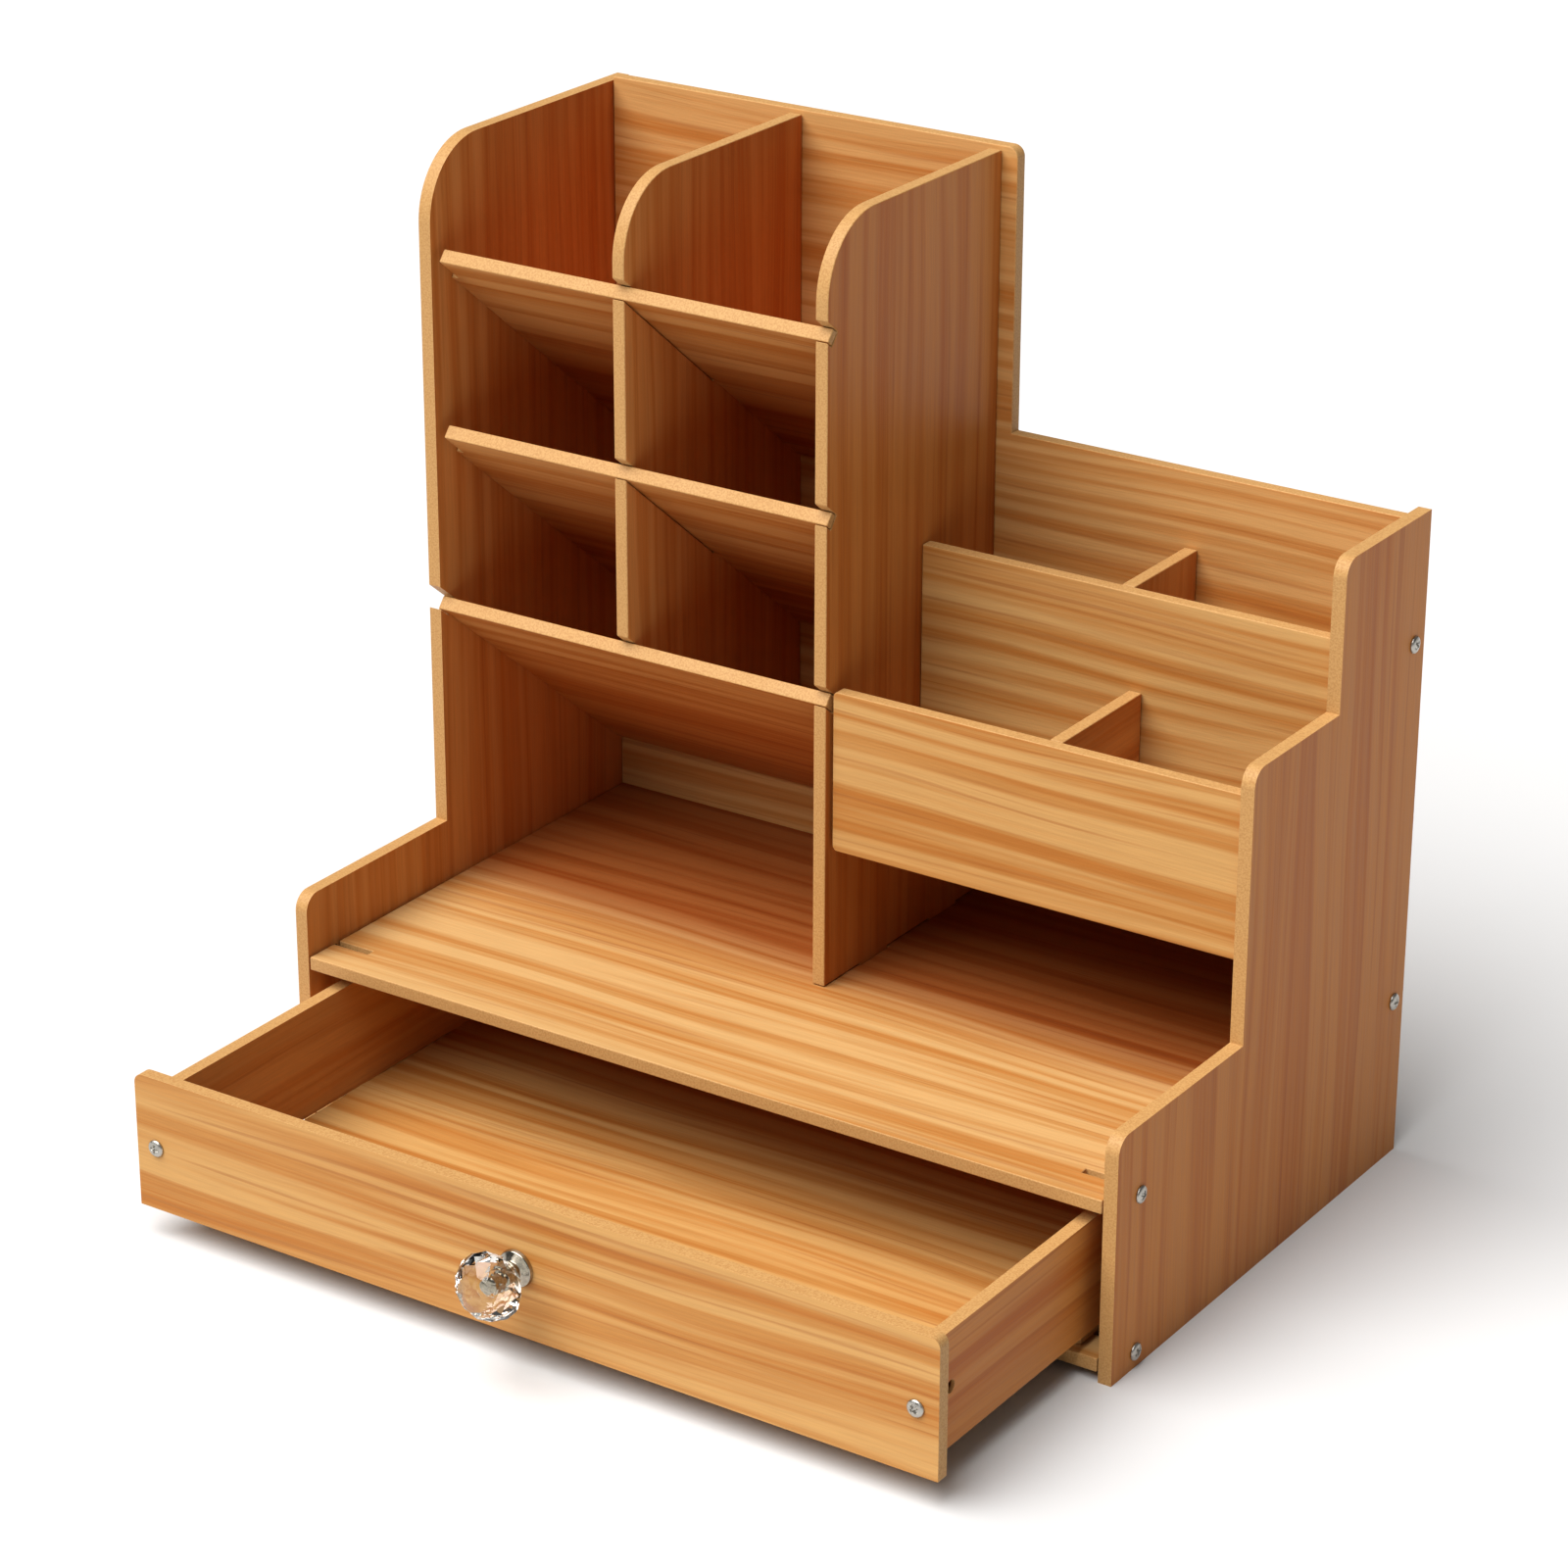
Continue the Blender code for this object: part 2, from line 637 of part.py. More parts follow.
lug_left = side_left_x + BOARD / 2
lug_right = side_right_x + BOARD / 2
floor_corners = [(box_left, side_front), (box_right, side_front)]
for lug_start in LUG_STARTS:
    near = drawer_y(lug_start)
    floor_corners += [
        (box_right, near),
        (lug_right, near),
        (lug_right, near + LUG_LENGTH),
        (box_right, near + LUG_LENGTH),
    ]
floor_corners += [(box_right, side_rear), (box_left, side_rear)]
for lug_start in reversed(LUG_STARTS):
    near = drawer_y(lug_start)
    floor_corners += [
        (box_left, near + LUG_LENGTH),
        (lug_left, near + LUG_LENGTH),
        (lug_left, near),
        (box_left, near),
    ]
floor_rings = [[Vector(corner) for corner in floor_corners]]
to_drawer(board("drawer_bottom", "Z", DRAWER_FLOOR_BOTTOM, floor_rings))

# Screws and knob on the drawer front
HEAD_FORWARD = (math.radians(90), 0.0, 0.0)
HEAD_BACKWARD = (math.radians(-90), 0.0, 0.0)
front_face_y = drawer_y(0.0)
for side_name, screw_x in (("left", screw_left_x), ("right", screw_right_x)):
    at = (screw_x, front_face_y, FRONT_SCREW_Z)
    to_drawer(screw(f"screw_drawer_{side_name}", at, HEAD_FORWARD, FRONT_SCREW_LENGTH))

knob_at = (CENTRE_X, front_face_y, KNOB_Z)
knob_base = turned("knob_base", KNOB_BASE, knob_at, HEAD_FORWARD, STEEL_SURFACE)
knob_bore = [
    (0.0, KNOB_SCREW_REACH + GAP),
    (KNOB_SCREW_HOLE, KNOB_SCREW_REACH + GAP),
    (KNOB_SCREW_HOLE, -KNOB_BORE_OVERRUN),
    (0.0, -KNOB_BORE_OVERRUN),
]
bore = turned("knob_bore", knob_bore, knob_at, HEAD_FORWARD, STEEL_SURFACE, HOLE_STEPS)
cut(knob_base, as_cutter(bore))
to_drawer(knob_base)
to_drawer(turned(
    "knob_crystal", CRYSTAL_HEAD, knob_at, HEAD_FORWARD, CRYSTAL_SURFACE, CRYSTAL_FACETS
))
knob_screw_at = (CENTRE_X, drawer_y(BOARD), KNOB_Z)
to_drawer(turned("knob_screw", KNOB_SCREW, knob_screw_at, HEAD_BACKWARD, STEEL_SURFACE))
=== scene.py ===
import math

import bmesh
import bpy
from mathutils import Matrix, Vector


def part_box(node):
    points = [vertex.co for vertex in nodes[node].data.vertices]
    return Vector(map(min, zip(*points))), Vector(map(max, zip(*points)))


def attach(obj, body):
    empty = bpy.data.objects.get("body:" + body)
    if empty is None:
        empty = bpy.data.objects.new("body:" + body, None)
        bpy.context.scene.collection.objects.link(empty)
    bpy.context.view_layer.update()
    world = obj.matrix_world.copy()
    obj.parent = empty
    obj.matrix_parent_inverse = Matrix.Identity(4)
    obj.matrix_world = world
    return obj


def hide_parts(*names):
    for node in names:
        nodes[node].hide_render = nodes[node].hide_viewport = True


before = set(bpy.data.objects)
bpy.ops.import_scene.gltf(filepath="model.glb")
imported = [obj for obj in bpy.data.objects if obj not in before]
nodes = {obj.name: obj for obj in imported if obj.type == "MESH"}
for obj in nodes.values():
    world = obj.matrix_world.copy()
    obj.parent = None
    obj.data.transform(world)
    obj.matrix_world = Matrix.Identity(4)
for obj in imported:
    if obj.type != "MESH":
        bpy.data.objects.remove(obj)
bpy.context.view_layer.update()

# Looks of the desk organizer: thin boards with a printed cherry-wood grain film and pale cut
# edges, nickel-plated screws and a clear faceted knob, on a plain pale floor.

MM = 0.001


# ---------------------------------------------------------------- camera, light and floor

CAMERA_PLACE = (0.8110, -1.1944, 0.7776)
CAMERA_AZIMUTH = math.radians(33.761)
CAMERA_TILT = math.radians(90 - 23.241)
CAMERA_ROLL = math.radians(0.128)
CAMERA_LENS = 107.65

camera = bpy.data.objects.new("camera", bpy.data.cameras.new("camera"))
bpy.context.scene.collection.objects.link(camera)
camera.data.lens = CAMERA_LENS
camera.data.sensor_width = 36.0
camera.data.clip_end = 50.0
camera.matrix_world = (
    Matrix.Translation(CAMERA_PLACE)
    @ Matrix.Rotation(CAMERA_AZIMUTH, 4, "Z")
    @ Matrix.Rotation(CAMERA_TILT, 4, "X")
    @ Matrix.Rotation(CAMERA_ROLL, 4, "Z")
)
bpy.context.scene.camera = camera


AIM = Vector((0.0, 0.0, 0.13))
KEY_AZIMUTH = math.radians(-30)
KEY_HEIGHT = math.radians(59)
KEY_STRENGTH = 5.5
KEY_SPREAD = math.radians(60)
FLOOR_WHITE = 0.66
WORLD_SEEN = 0.98
WORLD_FILL = 0.14


def sun(name, azimuth, height, strength, spread, colour):
    """A soft sun, seen from the object at azimuth (0 is the front, positive to the right)."""
    light = bpy.data.lights.new(name, "SUN")
    light.energy = strength
    light.angle = spread
    light.color = colour
    made = bpy.data.objects.new(name, light)
    bpy.context.scene.collection.objects.link(made)
    towards = Vector((
        math.sin(azimuth) * math.cos(height),
        -math.cos(azimuth) * math.cos(height),
        math.sin(height),
    ))
    made.location = AIM + towards * 3.0
    made.rotation_euler = towards.to_track_quat("Z", "Y").to_euler()


sun("key_light", KEY_AZIMUTH, KEY_HEIGHT, KEY_STRENGTH, KEY_SPREAD, (1.0, 0.99, 0.98))

world = bpy.data.worlds.new("studio")
bpy.context.scene.world = world
world.use_nodes = True
sky = world.node_tree.nodes
sky.clear()
seen = sky.new("ShaderNodeBackground")
seen.inputs["Strength"].default_value = WORLD_SEEN
fill = sky.new("ShaderNodeBackground")
fill.inputs["Strength"].default_value = WORLD_FILL
for background in (seen, fill):
    background.inputs["Color"].default_value = (1.0, 1.0, 1.0, 1.0)
ray = sky.new("ShaderNodeLightPath")
choose = sky.new("ShaderNodeMixShader")
out = sky.new("ShaderNodeOutputWorld")
join = world.node_tree.links.new
join(ray.outputs["Is Camera Ray"], choose.inputs["Fac"])
join(fill.outputs["Background"], choose.inputs[1])
join(seen.outputs["Background"], choose.inputs[2])
join(choose.outputs["Shader"], out.inputs["Surface"])
bpy.context.scene.view_settings.view_transform = "Standard"


# ---------------------------------------------------------------- material helpers

class Tree:
    """A material's node tree, with one short method for each kind of node used here."""

    def __init__(self, name):
        self.material = bpy.data.materials.new(name)
        self.material.use_nodes = True
        self.nodes = self.material.node_tree.nodes
        self.links = self.material.node_tree.links
        self.shader = self.nodes["Principled BSDF"]

    def feed(self, socket, value):
        if isinstance(value, bpy.types.NodeSocket):
            self.links.new(value, socket)
        else:
            socket.default_value = value

    def maths(self, operation, *values, clamp=False):
        node = self.nodes.new("ShaderNodeMath")
        node.operation = operation
        node.use_clamp = clamp
        for socket, value in zip(node.inputs, values):
            self.feed(socket, value)
        return node.outputs[0]

    def vector(self, operation, a, b, output="Vector"):
        node = self.nodes.new("ShaderNodeVectorMath")
        node.operation = operation
        self.feed(node.inputs[0], a)
        self.feed(node.inputs[1], b)
        return node.outputs[output]

    def noise(self, place, scale=1.0, detail=2.0, roughness=0.5, distortion=0.0):
        node = self.nodes.new("ShaderNodeTexNoise")
        self.feed(node.inputs["Vector"], place)
        node.inputs["Scale"].default_value = scale
        node.inputs["Detail"].default_value = detail
        node.inputs["Roughness"].default_value = roughness
        node.inputs["Distortion"].default_value = distortion
        return node.outputs["Fac"]

    def spread(self, value, low, high, to_low=0.0, to_high=1.0):
        """Maps value from low..high to to_low..to_high, smoothly and clamped."""
        node = self.nodes.new("ShaderNodeMapRange")
        node.interpolation_type = "SMOOTHSTEP"
        for name, number in (
            ("From Min", low), ("From Max", high), ("To Min", to_low), ("To Max", to_high),
        ):
            node.inputs[name].default_value = number
        self.feed(node.inputs["Value"], value)
        return node.outputs["Result"]

    def mix(self, share, a, b, blend="MIX"):
        node = self.nodes.new("ShaderNodeMix")
        node.data_type = "RGBA"
        node.blend_type = blend
        self.feed(node.inputs["Factor"], share)
        self.feed(node.inputs[6], a)
        self.feed(node.inputs[7], b)
        return node.outputs[2]

    def bump(self, height, distance, strength=1.0):
        node = self.nodes.new("ShaderNodeBump")
        node.inputs["Strength"].default_value = strength
        node.inputs["Distance"].default_value = distance
        self.feed(node.inputs["Height"], height)
        self.feed(self.shader.inputs["Normal"], node.outputs["Normal"])


def rgb(red, green, blue):
    """A display colour from 0 to 255 as the linear colour that a shader takes."""
    linear = [
        c / 12.92 if c <= 0.04045 else ((c + 0.055) / 1.055) ** 2.4
        for c in (red / 255, green / 255, blue / 255)
    ]
    return (*linear, 1.0)


# ---------------------------------------------------------------- wood film

# Colours of the film before its tint, and of the fibreboard on cut edges
PALE = rgb(197, 155, 100)
MIDDLE = rgb(182, 130, 72)
STREAK = rgb(172, 110, 50)
DARK_LINE = rgb(150, 90, 42)
EDGE = rgb(193, 149, 93)
EDGE_DARK = rgb(178, 131, 78)

# Noise frequencies per metre: along the grain, across it, and between boards
WAVER = (4.5, 22.0, 1.0)
BANDS = (2.5, 150.0, 1.0)
LINES = (5.0, 380.0, 1.0)
DASHES = (6.0, 420.0, 2.0)
FIBRES = (45.0, 1500.0, 1.0)
BOARD_SHIFT = 3.7
WAVER_REACH = 0.012
STREAK_STRENGTH = 0.9
DASH_STRENGTH = 0.45
FIBRE_DEPTH = 0.00012
FILM_GLOSS = 0.18
ALONG = {"X": Vector((1, 0, 0)), "Y": Vector((0, 1, 0)), "Z": Vector((0, 0, 1))}


def wood(name, grain, facing, shift, tint, painted_shade, contrast):
    """Printed wood film on the two faces of a board, and pale fibreboard on its cut edges.
    tint is multiplied into the film; on most boards it is painted shade or painted light.
    inner is None, or a gradient of painted shade: a darker, redder tint that the film takes on
    from 15 mm before the tower divider's front towards the back, with how far back it gets to
    its deepest, standing in for the shade inside the tower and the bay under it.
    contrast is how strongly the streaks stand out."""
    tree = Tree(name)
    place = tree.nodes.new("ShaderNodeTexCoord").outputs["Object"]
    local = tree.nodes.new("ShaderNodeCombineXYZ")
    for socket, direction in zip(local.inputs, (grain, facing.cross(grain))):
        tree.feed(socket, tree.vector("DOT_PRODUCT", place, direction, "Value"))
    local.inputs[2].default_value = shift * BOARD_SHIFT
    local = local.outputs[0]

    # slow waver of the growth lines, up to a few millimetres across the grain
    waver = tree.noise(tree.vector("MULTIPLY", local, WAVER), detail=1.0)
    sway = tree.nodes.new("ShaderNodeCombineXYZ")
    offset = tree.maths("MULTIPLY", tree.maths("SUBTRACT", waver, 0.5), WAVER_REACH)
    tree.feed(sway.inputs[1], offset)
    local = tree.vector("ADD", local, sway.outputs[0])

    bands = tree.noise(tree.vector("MULTIPLY", local, BANDS), detail=2.0)
    lines = tree.noise(tree.vector("MULTIPLY", local, LINES), detail=2.5, roughness=0.6)
    dashes = tree.noise(tree.vector("MULTIPLY", local, DASHES), detail=1.0)
    fibres = tree.noise(tree.vector("MULTIPLY", local, FIBRES), detail=2.0)

    share = tree.spread(bands, 0.38, 0.60, 0.5 - 0.5 * contrast, 0.5 + 0.5 * contrast)
    colour = tree.mix(share, PALE, MIDDLE)
    streak = tree.maths(
        "MULTIPLY", tree.spread(bands, 0.42, 0.66), tree.spread(lines, 0.42, 0.60)
    )
    colour = tree.mix(tree.maths("MULTIPLY", streak, STREAK_STRENGTH * contrast), colour, STREAK)
    dark = tree.spread(dashes, 0.60, 0.74)
    dark = tree.maths("MULTIPLY", dark, DASH_STRENGTH * contrast)
    colour = tree.mix(dark, colour, DARK_LINE)
    light = tree.spread(fibres, 0.25, 0.75, 0.94, 1.05)
    # The tint multiplied in here is painted shade on the browner, brownest and redder boards and
    # painted light on the sunnier back panel.
    tone_and_shade = tree.nodes.new("ShaderNodeCombineColor")
    for socket, share in zip(tone_and_shade.inputs, tint):
        tree.feed(socket, tree.maths("MULTIPLY", light, share))
    film = tree.mix(1.0, colour, tone_and_shade.outputs[0], blend="MULTIPLY")
    # Painted shade: from 15 mm before the tower divider's front towards the back, the film is
    # multiplied by a darker, redder tint, on every face but the left side panel's outer face.
    if painted_shade:
        shade_colour, reach = painted_shade
        x = tree.vector("DOT_PRODUCT", place, ALONG["X"], "Value")
        y = tree.vector("DOT_PRODUCT", place, ALONG["Y"], "Value")
        inside = tree.spread(x, LEFT_FACE + 1 * MM, LEFT_FACE + 2 * MM)
        depth = tree.spread(y, SHADE_START, SHADE_START + reach)
        depth = tree.maths("MULTIPLY", depth, inside)
        film = tree.mix(depth, film, (*shade_colour, 1.0), blend="MULTIPLY")

    speckle = tree.noise(place, scale=1500.0, detail=1.0)
    core = tree.mix(tree.spread(speckle, 0.35, 0.7), EDGE, EDGE_DARK)

    normal = tree.nodes.new("ShaderNodeNewGeometry").outputs["True Normal"]
    flat = tree.maths("ABSOLUTE", tree.vector("DOT_PRODUCT", normal, facing, "Value"))
    on_face = tree.spread(flat, 0.72, 0.92)
    tree.feed(tree.shader.inputs["Base Color"], tree.mix(on_face, core, film))
    tree.feed(tree.shader.inputs["Roughness"], tree.spread(fibres, 0.2, 0.8, 0.42, 0.54))
    tree.shader.inputs["Specular IOR Level"].default_value = FILM_GLOSS
    tree.bump(tree.maths("MULTIPLY", fibres, on_face), FIBRE_DEPTH, 0.5)
    return tree.material


def faces_along(piece):
    """The direction that a board's two broad faces look along: its largest share of area."""
    areas = {}
    for face in piece.data.polygons:
        side = face.normal if sum(face.normal) > 0 else -face.normal
        key = tuple(round(value, 2) for value in side)
        area, total = areas.get(key, (0.0, Vector()))
        areas[key] = (area + face.area, total + side * face.area)
    return max(areas.values(), key=lambda entry: entry[0])[1].normalized()


# Film tints: (red, green, blue) factors on the film's colours. The browner, brownest and redder
# tints are painted shade on boards seen on their sides turned away from the light or lying inside
# the tower and drawer; the sunnier tint is painted light on the back panel.
PLAIN = (1.0, 1.0, 1.0)
WARM = (1.02, 0.97, 0.86)
WARMER = (1.0, 0.92, 0.78)
SHADE_BROWNER = (1.20, 0.95, 0.74)
SHADE_BROWNEST = (0.97, 0.64, 0.38)
SHADE_REDDER = (1.0, 0.80, 0.64)
SUNNIER = (1.12, 1.0, 0.88)

# Gradients of painted shade, darker and redder towards the back, standing in for the shade inside
# the tower and the bay under it, and how far behind their start, 15 mm before the tower divider's
# front, they are at their deepest.
# The outer face of the left side panel, at LEFT_FACE, isn't painted with them.
PAINTED_SHADE = ((0.93, 0.72, 0.58), 90 * MM)
PAINTED_DEEP_SHADE = ((0.55, 0.28, 0.17), 42 * MM)
SHADE_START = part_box("tower_divider")[0].y - 15 * MM
LEFT_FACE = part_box("left_side_panel")[0].x

# How strongly the streaks show, by the axis that the grain runs along
CONTRAST = {"X": 1.0, "Y": 0.75, "Z": 0.62}

# Each board: the axis its grain runs along, its film's tint, and its gradient of painted shade
# towards the back, or None
BOARDS = {
    "left_side_panel": ("Z", SHADE_BROWNER, PAINTED_SHADE),
    "right_side_panel": ("Z", SHADE_BROWNEST, None),
    "back_panel": ("X", SUNNIER, None),
    "deck_board": ("X", PLAIN, PAINTED_DEEP_SHADE),
    "bottom_board": ("X", PLAIN, None),
    "tower_right_panel": ("Z", SHADE_BROWNEST, None),
    "tower_divider": ("Z", SHADE_BROWNER, PAINTED_SHADE),
    "tower_shelf_upper": ("X", SHADE_REDDER, PAINTED_SHADE),
    "tower_shelf_middle": ("X", SHADE_REDDER, PAINTED_SHADE),
    "tower_shelf_lower": ("X", SHADE_REDDER, PAINTED_SHADE),
    "compartment_floor": ("X", PLAIN, None),
    "middle_row_front_panel": ("X", WARM, None),
    "pen_row_front_panel": ("X", WARM, None),
    "middle_row_divider": ("Y", SHADE_BROWNER, None),
    "pen_row_divider": ("Z", SHADE_BROWNER, None),
    "drawer_front": ("X", WARMER, None),
    "drawer_back": ("X", SHADE_REDDER, None),
    "drawer_left_side": ("Y", SHADE_BROWNER, None),
    "drawer_right_side": ("Y", SHADE_BROWNEST, None),
    "drawer_bottom": ("X", WARMER, None),
}
# The drawer's bottom and sides meet at their edges, so those stay nearly square.
TUCKED_ROUNDING = 0.08 * MM
TUCKED = ("drawer_bottom", "drawer_left_side", "drawer_right_side")
EDGE_ROUNDING = 0.45 * MM


def soften_group():
    """Geometry nodes that shade gentle corners smooth and keep sharp ones sharp."""
    group = bpy.data.node_groups.new("soften", "GeometryNodeTree")
    group.interface.new_socket("Geometry", in_out="INPUT", socket_type="NodeSocketGeometry")
    group.interface.new_socket("Geometry", in_out="OUTPUT", socket_type="NodeSocketGeometry")
    start = group.nodes.new("NodeGroupInput")
    end = group.nodes.new("NodeGroupOutput")
    forget = group.nodes.new("GeometryNodeRemoveAttribute")
    forget.inputs["Name"].default_value = "custom_normal"
    faces = group.nodes.new("GeometryNodeSetShadeSmooth")
    edges = group.nodes.new("GeometryNodeSetShadeSmooth")
    edges.domain = "EDGE"
    angle = group.nodes.new("GeometryNodeInputMeshEdgeAngle")
    gentle = group.nodes.new("ShaderNodeMath")
    gentle.operation = "LESS_THAN"
    gentle.inputs[1].default_value = math.radians(32)
    link = group.links.new
    link(start.outputs[0], forget.inputs["Geometry"])
    link(forget.outputs["Geometry"], faces.inputs["Geometry"])
    link(faces.outputs["Geometry"], edges.inputs["Geometry"])
    link(angle.outputs["Unsigned Angle"], gentle.inputs[0])
    link(gentle.outputs[0], edges.inputs["Shade Smooth"])
    link(edges.outputs["Geometry"], end.inputs[0])
    return group


SOFTEN = soften_group()


def round_edges(piece, width):
    """Welds a CAD node's triangles, joins its flat faces and eases its edges, as modifiers."""
    weld = piece.modifiers.new("weld", "WELD")
    weld.merge_threshold = 0.00001
    flatten = piece.modifiers.new("flatten", "DECIMATE")
    flatten.decimate_type = "DISSOLVE"
    flatten.angle_limit = math.radians(0.5)
    ease = piece.modifiers.new("ease", "BEVEL")
    ease.width = width
    ease.segments = 3
    ease.limit_method = "ANGLE"
    ease.angle_limit = math.radians(40)
    ease.use_clamp_overlap = True
    soften = piece.modifiers.new("soften", "NODES")
    soften.node_group = SOFTEN
    weigh = piece.modifiers.new("weigh", "WEIGHTED_NORMAL")
    weigh.mode = "FACE_AREA"
    weigh.weight = 100
    weigh.keep_sharp = True


for number, (board, (grain, tint, painted_shade)) in enumerate(BOARDS.items()):
    piece = nodes[board]
    facing = faces_along(piece)
    film = wood(
        f"film_{board}", ALONG[grain], facing, 1.0 + number, tint, painted_shade, CONTRAST[grain]
    )
    piece.data.materials.clear()
    piece.data.materials.append(film)
    round_edges(piece, TUCKED_ROUNDING if board in TUCKED else EDGE_ROUNDING)


# ---------------------------------------------------------------- turned metal pieces

def steel(name, dark, bright, rough_low, rough_high):
    """Nickel plate with a faint cloudiness in its colour and polish."""
    tree = Tree(name)
    place = tree.nodes.new("ShaderNodeTexCoord").outputs["Object"]
    cloud = tree.noise(place, scale=700.0, detail=3.0)
    tree.feed(tree.shader.inputs["Base Color"], tree.mix(cloud, dark, bright))
    tree.feed(tree.shader.inputs["Roughness"], tree.spread(cloud, 0.3, 0.7, rough_low, rough_high))
    tree.shader.inputs["Metallic"].default_value = 1.0
    return tree.material


def turned(name, rings, steps, material, placed, dent=None):
    """A turned piece from (radius, height) rings in millimetres, top to bottom, with its axis
    along local Z. dent(x, y) says how far a point of the upper face is pressed in."""
    shape = bmesh.new()
    loops = []
    for radius, height in rings:
        if not radius:
            depth = dent(0.0, 0.0) if dent and height > 0 else 0.0
            loops.append([shape.verts.new((0.0, 0.0, (height - depth) * MM))] * steps)
            continue
        loop = []
        for step in range(steps):
            turn = 2 * math.pi * step / steps
            x, y = radius * math.cos(turn), radius * math.sin(turn)
            depth = dent(x, y) if dent and height > 0 else 0.0
            loop.append(shape.verts.new((x * MM, y * MM, (height - depth) * MM)))
        loops.append(loop)
    for upper, lower in zip(loops, loops[1:]):
        for step in range(steps):
            after = (step + 1) % steps
            corners = []
            for corner in (upper[step], lower[step], lower[after], upper[after]):
                if corner not in corners:
                    corners.append(corner)
            shape.faces.new(corners)
    mesh = bpy.data.meshes.new(name)
    shape.to_mesh(mesh)
    shape.free()
    mesh.shade_smooth()
    mesh.set_sharp_from_angle(angle=math.radians(38))
    mesh.materials.append(material)
    made = bpy.data.objects.new(name, mesh)
    bpy.context.scene.collection.objects.link(made)
    made.matrix_world = placed
    return made


# ---------------------------------------------------------------- screws

HEAD_RADIUS = 3.1
HEAD_HEIGHT = 1.5
HEAD_RIM = 0.5
SEAT_GAP = 0.1
CROSS_REACH = 1.6
CROSS_HALF_WIDTH = 0.42
CROSS_DEPTH = 0.85
CROSS_SLOPE = 0.16
SHANK_RADIUS = 1.3
THREAD_DEPTH = 0.22
THREAD_PITCH = 1.0
THREAD_PARTS = 4
PLAIN_SHANK = 1.5
TIP_LENGTH = 1.5
TIP_RADIUS = 0.4
SCREW_STEPS = 64


def cross_dent(x, y):
    """Depth of the cross recess pressed into a screw head."""
    x, y = sorted((abs(x), abs(y)))
    inside = min(CROSS_HALF_WIDTH - x, CROSS_REACH - y)
    edge = min(max(inside / CROSS_SLOPE + 0.5, 0.0), 1.0)
    return CROSS_DEPTH * edge * (1.0 - 0.35 * y / CROSS_REACH)


def screw_rings(length):
    """Domed head, plain neck, threaded shank and tip, from the top down."""
    fine = [0.12 * step for step in range(18)]
    radii = fine + [2.3, 2.6, 2.85, HEAD_RADIUS]
    rings = []
    for radius in radii:
        rise = math.sqrt(max(1.0 - (radius / HEAD_RADIUS) ** 2, 0.0))
        rings.append((radius, HEAD_RIM + (HEAD_HEIGHT - HEAD_RIM) * rise))
    rings += [(HEAD_RADIUS, 0.3), (HEAD_RADIUS - 0.15, SEAT_GAP), (SHANK_RADIUS, SEAT_GAP)]
    turns = int((length - PLAIN_SHANK - TIP_LENGTH) / THREAD_PITCH)
    for part in range(turns * THREAD_PARTS + 1):
        crest = 0.5 + 0.5 * math.cos(2 * math.pi * part / THREAD_PARTS)
        height = -PLAIN_SHANK - part * THREAD_PITCH / THREAD_PARTS
        rings.append((SHANK_RADIUS - THREAD_DEPTH * (1.0 - crest), height))
    return rings + [(TIP_RADIUS, -length), (0.0, -length)]


def detailed_screw(node, towards, body, turn):
    """Stands in for a CAD screw, on its axis and with its head where the CAD head is."""
    low, high = (Vector(corner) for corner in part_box(node))
    middle = (low + high) / 2
    reach = sum(abs(t) * side for t, side in zip(towards, high - low))
    rings = screw_rings(reach / MM - HEAD_HEIGHT)
    seat = middle + towards * (reach / 2 - HEAD_HEIGHT * MM)
    facing = towards.to_track_quat("Z", "Y").to_matrix().to_4x4()
    placed = Matrix.Translation(seat) @ facing @ Matrix.Rotation(turn, 4, "Z")
    made = turned(f"{node}_threaded", rings, SCREW_STEPS, SCREW_STEEL, placed, cross_dent)
    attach(made, body)
    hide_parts(node)


SCREW_STEEL = steel("nickel_screw", rgb(150, 146, 138), rgb(205, 202, 194), 0.26, 0.42)
SCREW_FACING = {
    "screw_right_": (Vector((1, 0, 0)), "cabinet"),
    "screw_left_": (Vector((-1, 0, 0)), "cabinet"),
    "screw_drawer_": (Vector((0, -1, 0)), "drawer"),
}
screw_names = sorted(name for name in nodes if name.startswith("screw_"))
for number, name in enumerate(screw_names):
    for start, (towards, body) in SCREW_FACING.items():
        if name.startswith(start):
            detailed_screw(name, towards, body, math.radians(37 * number))


# ---------------------------------------------------------------- knob

KNOB_STEEL = steel("nickel_knob", rgb(128, 120, 108), rgb(196, 188, 172), 0.12, 0.24)
for name in ("knob_base", "knob_screw"):
    nodes[name].data.materials.clear()
    nodes[name].data.materials.append(KNOB_STEEL)
    round_edges(nodes[name], 0.2 * MM)

# The cut of the clear head: (radius, distance behind its outer end, points, turn in points)
GEM_RINGS = (
    (3.4, 0.0, 11, 0.0),
    (7.2, 1.2, 11, 0.5),
    (10.3, 3.8, 11, 0.0),
    (12.0, 7.6, 11, 0.5),
    (12.0, 9.8, 11, 0.0),
    (8.8, 14.4, 11, 0.5),
    (5.0, 17.9, 11, 0.0),
)
INSERT_RINGS = [
    (0.0, 8.6), (1.5, 8.6), (2.3, 8.0), (2.3, 6.4), (1.8, 6.0), (1.8, 5.0), (2.6, 4.6),
    (2.6, 2.2), (2.1, 1.8), (2.1, 0.6), (0.0, 0.6),
]
INSERT_STEPS = 24


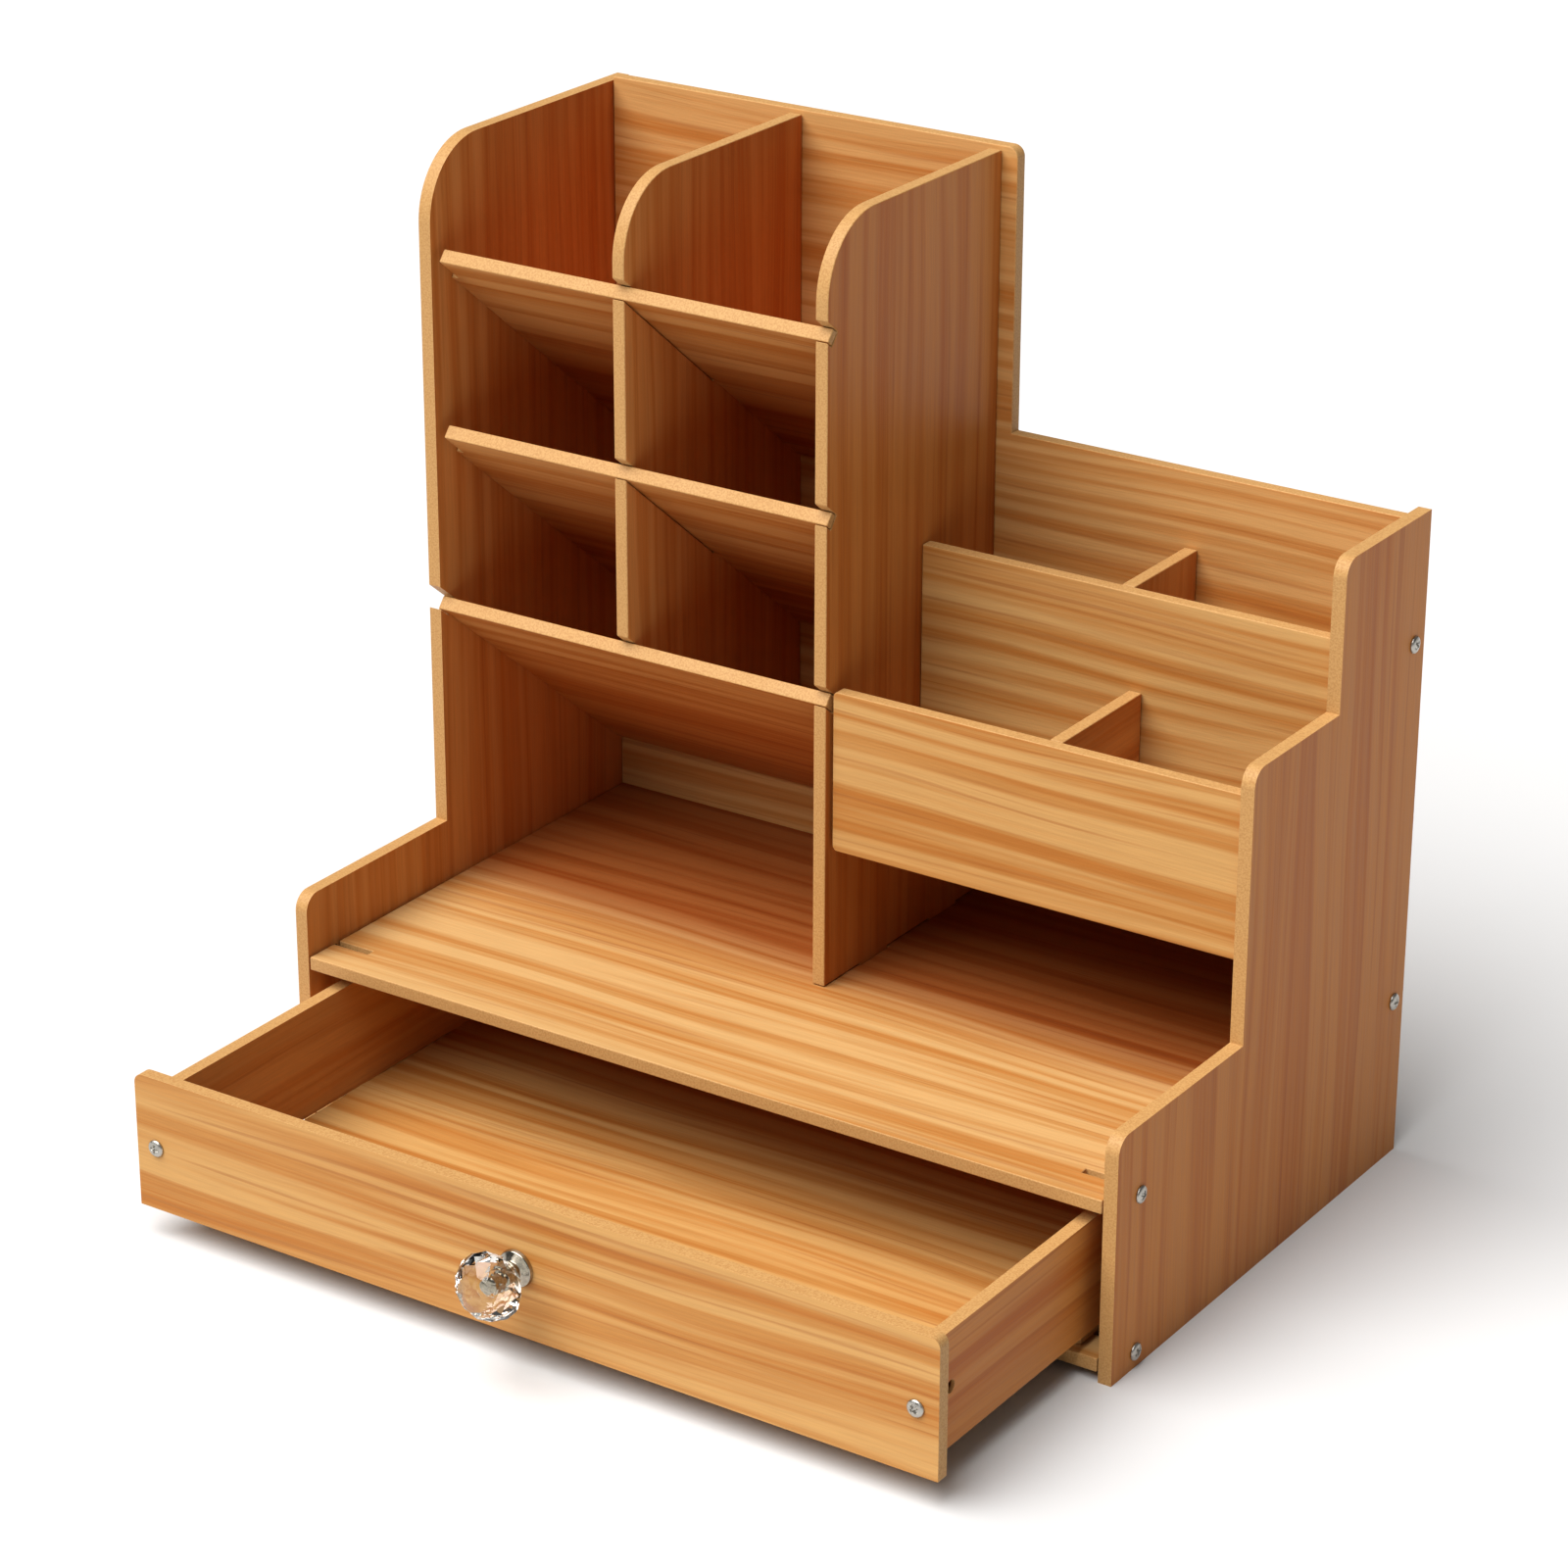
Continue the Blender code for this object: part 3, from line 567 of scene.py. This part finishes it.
def crystal():
    """Clear acrylic with a breath of colour and fine haze from handling."""
    tree = Tree("clear_acrylic")
    place = tree.nodes.new("ShaderNodeTexCoord").outputs["Object"]
    haze = tree.noise(place, scale=260.0, detail=2.0)
    tree.feed(
        tree.shader.inputs["Base Color"],
        tree.mix(haze, rgb(252, 251, 246), rgb(240, 243, 240)),
    )
    tree.feed(tree.shader.inputs["Roughness"], tree.spread(haze, 0.5, 0.8, 0.01, 0.06))
    tree.shader.inputs["IOR"].default_value = 1.52
    tree.shader.inputs["Transmission Weight"].default_value = 1.0
    return tree.material


def gem():
    """The faceted head, as the hull around its rings of corners."""
    low, high = (Vector(corner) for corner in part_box("knob_crystal"))
    middle = (low + high) / 2
    shape = bmesh.new()
    for radius, behind, count, turn in GEM_RINGS:
        for step in range(count):
            angle = 2 * math.pi * (step + turn) / count
            shape.verts.new((
                middle.x + radius * math.cos(angle) * MM,
                low.y + behind * MM,
                middle.z + radius * math.sin(angle) * MM,
            ))
    hull = bmesh.ops.convex_hull(shape, input=shape.verts)
    spare = {v for v in hull["geom_interior"] + hull["geom_unused"] if v in set(shape.verts)}
    bmesh.ops.delete(shape, geom=list(spare), context="VERTS")
    bmesh.ops.dissolve_limit(
        shape, angle_limit=math.radians(1.5), verts=shape.verts, edges=shape.edges
    )
    bmesh.ops.recalc_face_normals(shape, faces=shape.faces)
    mesh = bpy.data.meshes.new("knob_gem")
    shape.to_mesh(mesh)
    shape.free()
    mesh.materials.append(crystal())
    made = bpy.data.objects.new("knob_gem", mesh)
    bpy.context.scene.collection.objects.link(made)
    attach(made, "drawer")
    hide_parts("knob_crystal")
    return middle, high


gem_middle, gem_high = gem()
insert_place = (
    Matrix.Translation((gem_middle.x, gem_high.y, gem_middle.z))
    @ Matrix.Rotation(math.radians(90), 4, "X")
)
insert = turned("knob_insert", INSERT_RINGS, INSERT_STEPS, KNOB_STEEL, insert_place)
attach(insert, "drawer")


# ---------------------------------------------------------------- floor

FLOOR_HALF = 7.0
floor_mesh = bpy.data.meshes.new("floor")
shape = bmesh.new()
bmesh.ops.create_grid(shape, x_segments=1, y_segments=1, size=FLOOR_HALF)
shape.to_mesh(floor_mesh)
shape.free()
floor = bpy.data.objects.new("floor", floor_mesh)
bpy.context.scene.collection.objects.link(floor)
floor_tree = Tree("pale_floor")
floor_tree.shader.inputs["Base Color"].default_value = (FLOOR_WHITE, FLOOR_WHITE, FLOOR_WHITE, 1.0)
floor_tree.shader.inputs["Roughness"].default_value = 0.9
floor_mesh.materials.append(floor_tree.material)
